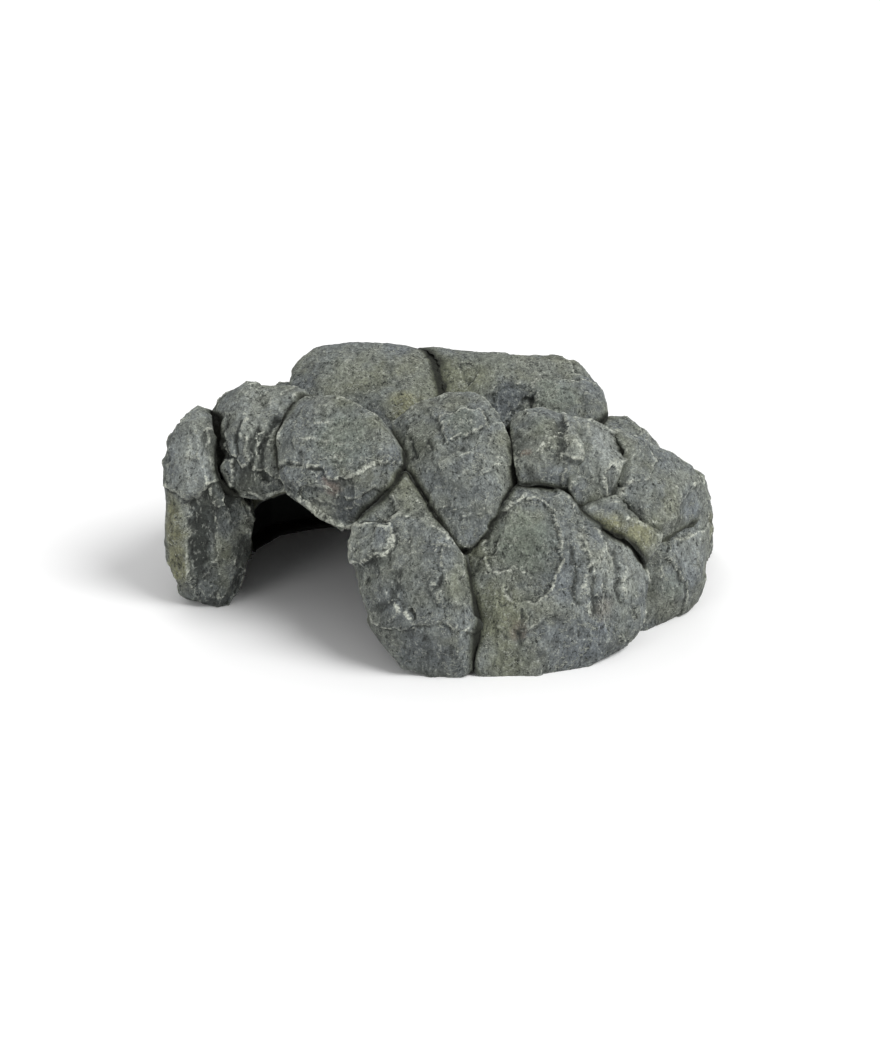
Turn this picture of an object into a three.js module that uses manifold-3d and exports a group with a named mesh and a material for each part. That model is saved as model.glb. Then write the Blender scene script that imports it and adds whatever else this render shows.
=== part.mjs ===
// A hollow cast-resin cave for a terrarium, aquarium or pond, in millimetres, +Z up.
// A ring and a crown of sculpted stones surround an arched doorway at the front left.
// They are carried by a smooth hollow core wall. Its foot is stiffened by a flat rim, open at the doorway.
// The stones are laid out round the middle of the cavity. The finished cave is then moved, so that
// the origin is at the centre of its footprint, on the surface that it stands on.
import * as THREE from 'three';
import { mergeVertices } from 'three/addons/utils/BufferGeometryUtils.js';
import Module from 'manifold-3d';

const wasm = await Module();
wasm.setup();

// ---- Driving dimensions ----
const cavity = { left: 102, right: 91, halfDepth: 73, height: 77 };
const squareness = { left: 4, right: 2.6 }; // of the plan; 2 would be an ellipse
const profilePower = 2.5; // how square the cavity is seen from the side
const coreWall = 5;
const rimHeight = 3;
const rimWidth = 11;
const rimSetback = 32; // how far behind the doorway the rim's two ends stop
const doorway = { x: -56, y: -42, turn: -42 }; // a point of the plane that ends the core, and its turn
const gap = 0.35; // clearance that each piece keeps to its neighbours
const stoneDetail = 3; // subdivisions of each stone's sphere
const outlineSteps = 72;
const coreSegments = 32;
const coreRings = 20;
const stonePower = 0.8; // how round a stone's shoulders are; 1 would be an ellipsoid
const weld = 1e-3; // corners closer than this are one corner

// ---- Frames and solids ----
const radians = THREE.MathUtils.degToRad;

// Axes of a plane that faces the front turned about Z by `turn` degrees and leans back by `lean` degrees.
function facing(turn, lean, at) {
  const t = radians(turn);
  const l = radians(lean);
  const out = new THREE.Vector3(Math.sin(t) * Math.cos(l), -Math.cos(t) * Math.cos(l), Math.sin(l));
  const right = new THREE.Vector3(Math.cos(t), Math.sin(t), 0);
  const up = new THREE.Vector3().crossVectors(out, right);
  return new THREE.Matrix4().makeBasis(right, up, out).setPosition(...at);
}

function solidOf(geometry) {
  const bare = new THREE.BufferGeometry();
  const flat = geometry.index ? geometry.toNonIndexed() : geometry;
  bare.setAttribute('position', flat.getAttribute('position'));
  const merged = mergeVertices(bare, weld);
  return new wasm.Manifold(
    new wasm.Mesh({
      numProp: 3,
      vertProperties: merged.attributes.position.array,
      triVerts: new Uint32Array(merged.index.array),
    }),
  );
}

function largestBody(solid) {
  return solid.decompose().reduce((a, b) => (b.volume() > a.volume() ? b : a));
}

function meshOf(name, solid, material, at = [0, 0, 0]) {
  const { numProp, numVert, vertProperties, triVerts } = solid.getMesh();
  const positions = new Float32Array(numVert * 3);
  for (let i = 0; i < numVert; i++) {
    positions.set(vertProperties.subarray(i * numProp, i * numProp + 3), i * 3);
  }
  const geometry = new THREE.BufferGeometry();
  geometry.setAttribute('position', new THREE.BufferAttribute(positions, 3));
  geometry.setIndex(new THREE.BufferAttribute(new Uint32Array(triVerts), 1));
  geometry.translate(-at[0], -at[1], -at[2]);
  geometry.computeVertexNormals();
  const mesh = new THREE.Mesh(geometry, material);
  mesh.name = name;
  mesh.position.set(...at);
  return mesh;
}

// ---- The core: a squared dome, mirrored below the floor so that it can be cut off there ----
const signedPower = (x, power) => Math.sign(x) * Math.abs(x) ** power;

function planRadius(angle, grow) {
  const side = Math.cos(angle) < 0 ? 'left' : 'right';
  const power = squareness[side];
  const across = Math.abs(Math.cos(angle) / (cavity[side] + grow)) ** power;
  const along = Math.abs(Math.sin(angle) / (cavity.halfDepth + grow)) ** power;
  return (across + along) ** (-1 / power);
}

function domeSolid(grow) {
  const geometry = new THREE.SphereGeometry(1, coreSegments, coreRings);
  const position = geometry.getAttribute('position');
  for (let i = 0; i < position.count; i++) {
    const [x, z, y] = [position.getX(i), position.getY(i), -position.getZ(i)];
    const angle = Math.atan2(y, x);
    const spread = planRadius(angle, grow) * Math.min(1, Math.hypot(x, y)) ** (2 / profilePower);
    const height = (cavity.height + grow) * signedPower(z, 2 / profilePower);
    position.setXYZ(i, spread * Math.cos(angle), spread * Math.sin(angle), height);
  }
  return solidOf(geometry);
}

const blockSize = 500;
const blockOf = (height, z) => new THREE.BoxGeometry(blockSize, blockSize, height).translate(0, 0, z);
const below = (z) => solidOf(blockOf(blockSize, z - blockSize / 2));

// Everything in front of the doorway's plane, and `inset` behind it.
function porch(inset) {
  const plane = facing(doorway.turn, 0, [doorway.x, doorway.y, 0]);
  return solidOf(blockOf(blockSize, blockSize / 2 - inset).applyMatrix4(plane));
}

// ---- Stones ----
// Distance from a stone's centre to its rounded outline, as a function of the angle in its own plane.
function outlineRadius(corners, grow) {
  const curve = new THREE.CatmullRomCurve3(
    corners.map(([u, v]) => new THREE.Vector3(u, v, 0)), true, 'centripetal',
  );
  const samples = curve.getPoints(outlineSteps)
    .map((p) => ({ angle: Math.atan2(p.y, p.x), radius: Math.hypot(p.x, p.y) + grow }))
    .sort((a, b) => a.angle - b.angle);
  return (angle) => {
    const next = samples.findIndex((s) => s.angle > angle);
    const b = samples[next < 0 ? 0 : next];
    const a = samples[next <= 0 ? samples.length - 1 : next - 1];
    const span = THREE.MathUtils.euclideanModulo(b.angle - a.angle, 2 * Math.PI) || 1;
    const along = THREE.MathUtils.euclideanModulo(angle - a.angle, 2 * Math.PI) / span;
    return a.radius + (b.radius - a.radius) * Math.min(along, 1);
  };
}

// A stone is a sphere stretched to its outline. It stands `rise` out of the outline's plane and goes `sink`
// behind it. Each flat [u, v, w, distance] planes off what lies past it.
function stoneSolid({ at, turn, lean, outline, rise, sink, flats = [] }, grow = 0) {
  const geometry = new THREE.IcosahedronGeometry(1, stoneDetail);
  const radiusAt = outlineRadius(outline, grow);
  const frame = facing(turn, lean, at);
  const position = geometry.getAttribute('position');
  const p = new THREE.Vector3();
  const normal = new THREE.Vector3();
  for (let i = 0; i < position.count; i++) {
    p.fromBufferAttribute(position, i);
    const angle = Math.atan2(p.y, p.x);
    const spread = radiusAt(angle) * Math.hypot(p.x, p.y) ** stonePower;
    const height = Math.abs(p.z) ** stonePower * (p.z > 0 ? rise + grow : -(sink + grow));
    p.set(spread * Math.cos(angle), spread * Math.sin(angle), height);
    for (const [u, v, w, distance] of flats) {
      normal.set(u, v, w).normalize();
      const past = p.dot(normal) - distance - grow;
      if (past > 0) p.addScaledVector(normal, -past);
    }
    p.applyMatrix4(frame);
    position.setXYZ(i, p.x, p.y, p.z);
  }
  return solidOf(geometry);
}

// Listed from the foremost inwards: each stone is cut back by those listed before it.
const stones = {
  kite_stone: {
    at: [5, -48, 80], turn: 0, lean: 46, rise: 18, sink: 32,
    outline: [[-30, 25], [-6, 42], [9, 41], [29, 20], [29, -4], [5, -36], [-3, -31], [-24, 10]],
    flats: [[-0.35, 0.35, 1, 15], [0.5, 0.15, 1, 17]],
  },
  keystone: {
    at: [-43, -42, 84], turn: -16, lean: 40, rise: 18, sink: 28,
    outline: [[-28, 30], [-13, 30], [14, 20], [27, 4], [12, -28], [-8, -26], [-28, -13], [-36, 8]],
    flats: [[-0.1, 0.3, 1, 14]],
  },
  front_left_stone: {
    at: [-9, -73, 47], turn: -8, lean: 20, rise: 18, sink: 34,
    outline: [
      [-17, 40], [-29, 22], [-31, 8], [-18, -34], [1, -50],
      [28, -47], [28, -22], [12, 18], [0, 46],
    ],
    flats: [[0, 0.55, 1, 16]],
  },
  front_stone: {
    at: [50, -67, 38], turn: 8, lean: 24, rise: 22, sink: 34,
    outline: [
      [-46, 12], [-20, 40], [9, 41], [16, 29], [48, 5],
      [44, -22], [32, -35], [-15, -45], [-40, -41],
    ],
    flats: [[-0.4, 0.3, 1, 20], [0.3, 0.5, 1, 21]],
  },
  shoulder_stone: {
    at: [-80, -14, 83], turn: -28, lean: 35, rise: 18, sink: 26,
    outline: [
      [-35, 8], [-23, 20], [-10, 27], [14, 24], [16, -18],
      [3, -26], [-5, -29], [-24, -24], [-35, -4],
    ],
    flats: [[0.1, 0.9, 1, 22]],
  },
  left_pillar: {
    at: [-110, -16, 50], turn: -8, lean: 5, rise: 14, sink: 34,
    outline: [
      [-3, 49], [-20, 28], [-21, 3], [-22, -32], [-13, -48],
      [9, -51], [13, -36], [20, 4], [10, 30],
    ],
    flats: [[-0.7, 0.1, 1, 19], [0.5, -0.2, 1, 16]],
  },
  upper_right_stone: {
    at: [45, -38, 82], turn: 8, lean: 48, rise: 16, sink: 26,
    outline: [[-12, 19], [-4, 24], [11, 22], [18, 19], [19, 10], [14, -15], [0, -13], [-13, -10]],
  },
  upper_far_stone: {
    at: [68, -34, 76], turn: 24, lean: 44, rise: 15, sink: 26,
    outline: [[-2, 25], [10, 22], [22, 9], [20, -5], [7, -18], [-8, -20], [-16, -8], [-10, 14]],
  },
  right_ledge_stone: {
    at: [93, -25, 66], turn: 35, lean: 35, rise: 16, sink: 30,
    outline: [
      [-14, 27], [9, 17], [23, 4], [33, -6], [34, -15],
      [24, -21], [-5, -27], [-22, -24], [-28, -6], [-26, 16],
    ],
  },
  right_foot_stone: {
    at: [103, -28, 36], turn: 38, lean: 12, rise: 13, sink: 30,
    outline: [
      [30, 16], [29, -4], [24, -17], [18, -33], [-8, -37],
      [-24, -36], [-22, -10], [-20, 8], [0, 18], [16, 19],
    ],
  },
  wedge_stone: {
    at: [79, -47, 52], turn: 25, lean: 30, rise: 12, sink: 24,
    outline: [[-18, 16], [6, 20], [22, 6], [20, -14], [-2, -22], [-20, -12]],
  },
  top_left_stone: {
    at: [-32, 13, 87], turn: -5, lean: 60, rise: 19, sink: 20,
    outline: [
      [-43, 15], [-36, 30], [-18, 37], [4, 37], [26, 34],
      [41, 24], [45, -2], [30, -34], [-8, -36], [-38, -16],
    ],
  },
  top_right_stone: {
    at: [30, 9, 88], turn: 5, lean: 60, rise: 16, sink: 20,
    outline: [
      [-42, 40], [-16, 34], [10, 32], [36, 29], [48, 15],
      [48, -12], [36, -30], [6, -38], [-26, -34], [-40, 0],
    ],
    flats: [[0.1, -0.1, 1, 15]],
  },
  back_right_stone: {
    at: [84, -2, 70], turn: 38, lean: 45, rise: 13, sink: 24,
    outline: [[-16, 18], [4, 20], [20, 8], [27, -10], [18, -22], [0, -18], [-18, -6]],
  },
  far_right_stone: {
    at: [114, 20, 27], turn: 82, lean: 14, rise: 20, sink: 24,
    outline: [[-34, 8], [-16, 23], [14, 24], [34, 8], [36, -20], [20, -37], [-20, -38], [-36, -20]],
  },
  rear_right_stone: {
    at: [92, 60, 30], turn: 136, lean: 14, rise: 18, sink: 28,
    outline: [[-38, 6], [-20, 26], [8, 34], [32, 18], [38, -12], [26, -34], [-22, -34], [-36, -18]],
  },
  rear_boulder: {
    at: [46, 70, 40], turn: 170, lean: 16, rise: 20, sink: 26,
    outline: [
      [-40, 4], [-30, 28], [-6, 42], [22, 34], [38, 12],
      [34, -24], [14, -44], [-22, -46], [-40, -20],
    ],
    flats: [[0.4, 0.4, 1, 18]],
  },
  rear_teardrop: {
    at: [-2, 78, 34], turn: 182, lean: 14, rise: 14, sink: 28,
    outline: [[-24, -10], [-12, 20], [2, 42], [12, 20], [22, -8], [20, -36], [-18, -38]],
  },
  rear_left_stone: {
    at: [-42, 72, 42], turn: 190, lean: 14, rise: 18, sink: 26,
    outline: [
      [-34, 22], [-12, 36], [16, 32], [36, 10], [34, -22],
      [20, -46], [-18, -46], [-34, -20], [-38, 4],
    ],
  },
  left_corner_stone: {
    at: [-84, 54, 30], turn: 228, lean: 14, rise: 18, sink: 28,
    outline: [[-34, 16], [-10, 32], [18, 28], [38, 6], [36, -18], [18, -34], [-22, -34], [-38, -10]],
  },
  left_side_stone: {
    at: [-109, 20, 40], turn: 274, lean: 10, rise: 15, sink: 26,
    outline: [[-32, 20], [-16, 38], [10, 42], [30, 26], [36, -10], [22, -42], [-18, -44], [-36, -16]],
  },
  left_crown_stone: {
    at: [-84, 24, 72], turn: 256, lean: 48, rise: 15, sink: 22,
    outline: [[-34, 6], [-22, 22], [4, 30], [28, 20], [38, 2], [28, -20], [0, -28], [-28, -18]],
  },
  rear_left_crown: {
    at: [-48, 46, 76], turn: 204, lean: 50, rise: 14, sink: 22,
    outline: [[-30, 16], [-6, 28], [22, 22], [36, 2], [28, -20], [0, -30], [-28, -22], [-36, -4]],
  },
  rear_crown: {
    at: [0, 50, 80], turn: 178, lean: 54, rise: 13, sink: 22,
    outline: [[-28, 12], [-10, 26], [16, 28], [30, 10], [26, -16], [6, -32], [-18, -24], [-30, -6]],
  },
  rear_right_crown: {
    at: [46, 40, 75], turn: 160, lean: 54, rise: 14, sink: 22,
    outline: [[-34, 4], [-20, 24], [8, 30], [30, 18], [34, -6], [20, -28], [-12, -30], [-32, -18]],
  },
  right_crown_stone: {
    at: [82, 34, 54], turn: 126, lean: 46, rise: 13, sink: 22,
    outline: [[-30, 14], [-8, 28], [18, 24], [34, 6], [28, -18], [4, -30], [-22, -24], [-34, -6]],
  },
};

// ---- Assembly ----
const floor = below(0);
const core = domeSolid(coreWall + gap).subtract(porch(-gap));
const stoneMaterial = new THREE.MeshStandardMaterial({ color: 0x6f7570, roughness: 0.85, metalness: 0 });
const coreMaterial = new THREE.MeshStandardMaterial({ color: 0x1d1f1e, roughness: 0.6, metalness: 0 });

const cave = new THREE.Group();
cave.name = 'resin_cave';

const placed = [];
for (const [name, stone] of Object.entries(stones)) {
  const solid = wasm.Manifold.difference([stoneSolid(stone), floor, core, ...placed]);
  cave.add(meshOf(name, largestBody(solid), stoneMaterial, stone.at));
  placed.push(stoneSolid(stone, gap));
}

const shell = domeSolid(coreWall);
const wall = wasm.Manifold.difference([shell, domeSolid(0), below(rimHeight + gap), porch(0)]);
cave.add(meshOf('core_wall', largestBody(wall), coreMaterial));

const slab = solidOf(blockOf(rimHeight, rimHeight / 2));
const ring = shell.intersect(slab);
const rim = wasm.Manifold.difference([ring, domeSolid(coreWall - rimWidth), porch(rimSetback)]);
cave.add(meshOf('base_rim', largestBody(rim), coreMaterial));

const middle = new THREE.Box3().setFromObject(cave, true).getCenter(new THREE.Vector3());
cave.position.set(-middle.x, -middle.y, 0);

export default cave;
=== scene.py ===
import math
from itertools import product

import bpy
import numpy as np
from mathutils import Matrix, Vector
from mathutils.bvhtree import BVHTree


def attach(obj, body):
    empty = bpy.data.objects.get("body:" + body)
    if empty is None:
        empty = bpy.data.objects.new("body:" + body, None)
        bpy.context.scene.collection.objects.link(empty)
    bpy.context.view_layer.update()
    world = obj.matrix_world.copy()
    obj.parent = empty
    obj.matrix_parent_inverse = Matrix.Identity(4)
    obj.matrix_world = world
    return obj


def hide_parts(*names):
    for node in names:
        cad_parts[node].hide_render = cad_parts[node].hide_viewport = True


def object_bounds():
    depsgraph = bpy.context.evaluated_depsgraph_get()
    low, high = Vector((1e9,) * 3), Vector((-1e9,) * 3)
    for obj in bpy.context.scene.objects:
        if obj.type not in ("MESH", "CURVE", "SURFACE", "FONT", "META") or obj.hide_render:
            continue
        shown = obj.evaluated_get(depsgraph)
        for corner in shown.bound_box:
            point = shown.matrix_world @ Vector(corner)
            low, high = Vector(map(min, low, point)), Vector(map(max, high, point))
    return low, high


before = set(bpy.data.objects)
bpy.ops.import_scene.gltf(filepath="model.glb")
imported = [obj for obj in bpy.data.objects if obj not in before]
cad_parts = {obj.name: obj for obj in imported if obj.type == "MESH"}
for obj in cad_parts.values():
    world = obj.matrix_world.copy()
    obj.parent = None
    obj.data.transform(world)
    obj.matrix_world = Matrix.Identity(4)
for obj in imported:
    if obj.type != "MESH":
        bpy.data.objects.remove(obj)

CAD_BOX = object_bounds()

MM = 0.001
VOXEL = 0.9             # mesh size of the sculpted stones, mm
WALL_VOXEL = 1.3        # mesh size of the smooth inner wall, mm
FLOOR_CLEARANCE = 0.02  # mm

# How the stones of the one casting meet, mm
NEIGHBOUR_REACH = 9.0   # how far away a neighbour still counts
SWELL = 0.7             # how far a stone swells out of its plain shape,
OPEN_SWELL = 0.6        # how much more in the open, away from the crevices,
JOINED_SWELL = 2.4      # and how much more where it runs into a neighbour
JOINED_REACH = 4.0      # how far that last swelling and its crease reach
CREASE_DEPTH = 1.6      # how deep that crease is
VALLEY_REACH = 7.0      # how far from a crevice the stones start to fall away,
VALLEY_DEPTH = 4.5      # and how far they have fallen at the crevice

# How the facets, ledges and lines in the table of stones are carried out
CUT_DEPTH = 1.7         # how far the facets are cut in, as a multiple,
CUT_SHARE = 0.94        # and how much of what stands past them is taken off
STEP_HEIGHT = 0.85      # the height of the small ledges and lines, as a multiple
BIG_STEP = 1.5          # ledges higher than this keep their whole height, mm
EDGE_WIDTH = 0.5        # how far the brink of a ledge spreads to each side, mm
EDGE_WANDER = 1.5       # how far the brink of a ledge wanders, mm

# The flat faces that cover a stone, large and small: their key in the table of stones, size in mm,
# how far they are flattened when the table doesn't say, how much they tilt, and their seed
FLAT_FACES = (("plates", 22, 0.85, 0.05, 500), ("flakes", 10, 0.35, 0.08, 700))
FACE_CLIP = 0.13        # the most that a flat face takes off or puts on, of its size

# The fine relief, mm
SAG_HEIGHT = 0.25       # how uneven the facets are
CHIP_HEIGHT, CHIP_MORE = 0.05, 0.3      # chips everywhere, and how much more in some patches
STROKE_HEIGHT = 0.2
ROUGH_HEIGHT = 0.1
PIT_DEPTH = 0.45
WALL_WAVE, WALL_WAVE_HEIGHT = 20, 0.3   # the slow unevenness of the inner wall

# ---------------------------------------------------------------------------------------------------
# Noise, in numpy, at points in millimetres divided by the wanted feature size
# ---------------------------------------------------------------------------------------------------
GRADIENTS = np.array([
    [1, 1, 0], [-1, 1, 0], [1, -1, 0], [-1, -1, 0], [1, 0, 1], [-1, 0, 1],
    [1, 0, -1], [-1, 0, -1], [0, 1, 1], [0, -1, 1], [0, 1, -1], [0, -1, -1],
], dtype=np.float64)
NOISE_GAIN = 1.2
OCTAVE = 2.03           # how much finer each octave is than the one before
TEN_BITS = 1023         # ten bits of a cell's number place its point along one axis
CHIP_TILT = 1.6
FAR = 1e9
TINY = 1e-6             # stands in for nothing under a division


def scramble(i, j, k, seed):
    """A well mixed whole number for each cell of a lattice."""
    h = (i.astype(np.uint64) * np.uint64(73856093)) ^ (j.astype(np.uint64) * np.uint64(19349663))
    h ^= (k.astype(np.uint64) * np.uint64(83492791)) ^ np.uint64(seed * 2654435761 + 12345)
    h &= np.uint64(0xFFFFFFFF)
    for multiplier in (0x7FEB352D, 0x846CA68B):
        h ^= h >> np.uint64(15)
        h = (h * np.uint64(multiplier)) & np.uint64(0xFFFFFFFF)
    return h ^ (h >> np.uint64(16))


def noise(p, seed=0):
    """Gradient noise from about -1 to 1."""
    cell = np.floor(p).astype(np.int64)
    f = p - cell
    w = f * f * f * (f * (f * 6 - 15) + 10)
    total = np.zeros(len(p))
    for corner in product((0, 1), repeat=3):
        h = scramble(*(cell + corner).T, seed)
        g = GRADIENTS[(h % np.uint64(len(GRADIENTS))).astype(np.int64)]
        x, y, z = (w[:, axis] if corner[axis] else 1 - w[:, axis] for axis in range(3))
        total += ((f - corner) * g).sum(1) * (x * y * z)
    return total * NOISE_GAIN


def fractal(p, octaves, seed=0, gain=0.5):
    """Octaves of noise, each finer and weaker than the one before."""
    total, size, share = np.zeros(len(p)), 1.0, 1.0
    for octave in range(octaves):
        total += noise(p * size, seed + octave * 17) * share
        size *= OCTAVE
        share *= gain
    return total


def nearby_cells(p, seed):
    """The 27 lattice cells round each point: number, where in it the cell's own point is, way from there."""
    base = np.floor(p).astype(np.int64)
    for step in product((-1, 0, 1), repeat=3):
        cell = base + step
        h = scramble(*cell.T, seed)
        r = np.stack([(h >> np.uint64(shift)) & np.uint64(TEN_BITS) for shift in (0, 10, 20)], 1) / TEN_BITS
        yield h, r, p - (cell + r)


def chips(p, seed):
    """Flat cells that tilt and step against each other, from about -1 to 1."""
    nearest = np.full(len(p), FAR)
    height = np.zeros(len(p))
    for _, r, away in nearby_cells(p, seed):
        d = (away ** 2).sum(1)
        nearer = d < nearest
        tilted = (r[:, ::-1] - 0.5)[nearer]
        height[nearer] = (r[nearer, 0] - 0.5) + (away[nearer] * tilted).sum(1) * CHIP_TILT
        nearest[nearer] = d[nearer]
    return height


def smoothstep(low, high, x):
    t = np.clip((x - low) / (high - low), 0, 1)
    return t * t * (3 - 2 * t)


def unit(v):
    return v / np.maximum(np.linalg.norm(v, axis=1), TINY)[:, None]


# ---------------------------------------------------------------------------------------------------
# Meshes
# ---------------------------------------------------------------------------------------------------
class Skin:
    """A mesh held in numpy, in millimetres, while it is sculpted."""

    def __init__(self, mesh):
        n = len(mesh.vertices)
        self.mesh = mesh
        self.co = np.empty(n * 3)
        mesh.vertices.foreach_get("co", self.co)
        self.co = self.co.reshape(-1, 3) / MM
        edges = np.empty(len(mesh.edges) * 2, dtype=np.int64)
        mesh.edges.foreach_get("vertices", edges)
        self.edges = edges.reshape(-1, 2)
        self.degree = np.maximum(np.bincount(self.edges.ravel(), minlength=n), 1).astype(float)

    def write(self):
        self.mesh.vertices.foreach_set("co", (self.co * MM).ravel())
        self.mesh.update()

    def normals(self, times=0):
        """Vertex normals, smoothed over the mesh by so many passes."""
        self.write()
        out = np.empty(len(self.co) * 3)
        self.mesh.vertices.foreach_get("normal", out)
        out = out.reshape(-1, 3)
        return unit(self.averaged(out, times)) if times else out

    def averaged(self, values, times, share=0.5):
        """Values spread over the mesh by repeated averaging with the neighbours."""
        a, b = self.edges[:, 0], self.edges[:, 1]
        values = values.reshape(len(self.co), -1).copy()
        n = len(values)
        for _ in range(times):
            for axis in range(values.shape[1]):
                v = values[:, axis]
                near = np.bincount(a, v[b], n) + np.bincount(b, v[a], n)
                values[:, axis] = v + share * (near / self.degree - v)
        return values

    def smooth(self, times):
        self.co = self.averaged(self.co, times)

    def relief(self, times):
        """How far each vertex stands out of its smoothed surroundings, mm."""
        return ((self.co - self.averaged(self.co, times)) * self.normals(2)).sum(1)


def remeshed(name, node, voxel):
    """A new object with an even mesh in the shape of a CAD piece."""
    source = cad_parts[node]
    copy = bpy.data.objects.new(name, source.data.copy())
    bpy.context.scene.collection.objects.link(copy)
    remesh = copy.modifiers.new("remesh", "REMESH")
    remesh.mode = "VOXEL"
    remesh.voxel_size = voxel * MM
    depsgraph = bpy.context.evaluated_depsgraph_get()
    mesh = bpy.data.meshes.new_from_object(copy.evaluated_get(depsgraph))
    copy.modifiers.clear()
    copy.data = mesh
    mesh.name = name
    mesh.materials.clear()
    mesh.polygons.foreach_set("use_smooth", [True] * len(mesh.polygons))
    return copy


def store(mesh, name, values):
    layer = mesh.attributes.new(name, "FLOAT", "POINT")
    layer.data.foreach_set("value", values.astype(np.float32))


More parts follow.
